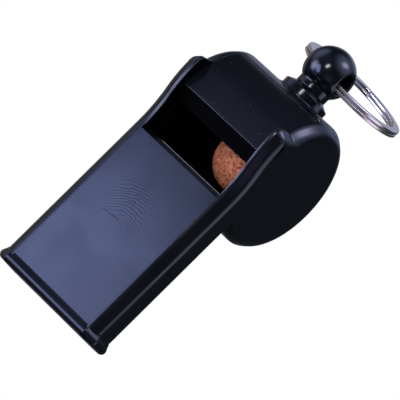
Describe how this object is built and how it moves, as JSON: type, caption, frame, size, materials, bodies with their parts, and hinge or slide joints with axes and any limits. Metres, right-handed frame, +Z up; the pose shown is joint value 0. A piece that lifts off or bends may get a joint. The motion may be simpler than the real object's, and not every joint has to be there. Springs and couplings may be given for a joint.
{
  "type": "pea whistle",
  "caption": "Moulded pea whistle: flat mouthpiece with windway, sharp-lipped window over a round chamber with a loose cork ball, raised cheeks, and a swivelling ball knob with a split ring.",
  "frame": {"origin": "under the middle of the whole, at the height of the hanging ring's lowest point, on the whistle's mid plane", "axes": "+X runs from the mouthpiece's tip to the ring along the length, +Z is up through the window, +Y goes to the whistle's left side across its width"},
  "size_m": [0.0606, 0.0228, 0.0343],
  "materials": {
    "black_plastic": "polished moulded black",
    "black_fitting": "high gloss black",
    "cork": "bare cork, matt",
    "washer_steel": "plain",
    "nickel_ring": "bright nickel plate"
  },
  "bodies": {
    "whistle": {"barrel_body": "black_plastic", "roof_plate": "black_plastic", "left_side_plate": "black_plastic", "right_side_plate": "black_plastic", "swivel_collar": "black_fitting"},
    "pea": {"cork_pea": "cork"},
    "knob": {"ball_knob": "black_fitting", "shank_washer": "washer_steel"},
    "ring": {"split_ring": "nickel_ring"}
  },
  "joints": [
    {"name": "pea_orbit", "type": "hinge", "parent": "whistle", "child": "pea", "pos_m": [0.0077, 0, 0.0206], "axis": [0, 1, 0], "continuous": true},
    {"name": "knob_swivel", "type": "hinge", "parent": "whistle", "child": "knob", "pos_m": [0.02565, 0, 0.0182], "axis": [1, 0, 0], "continuous": true},
    {"name": "ring_swing", "type": "hinge", "parent": "knob", "child": "ring", "pos_m": [0.02565, 0, 0.0182], "axis": [0, -1, 0], "range_deg": [-38, 190]}
  ]
}
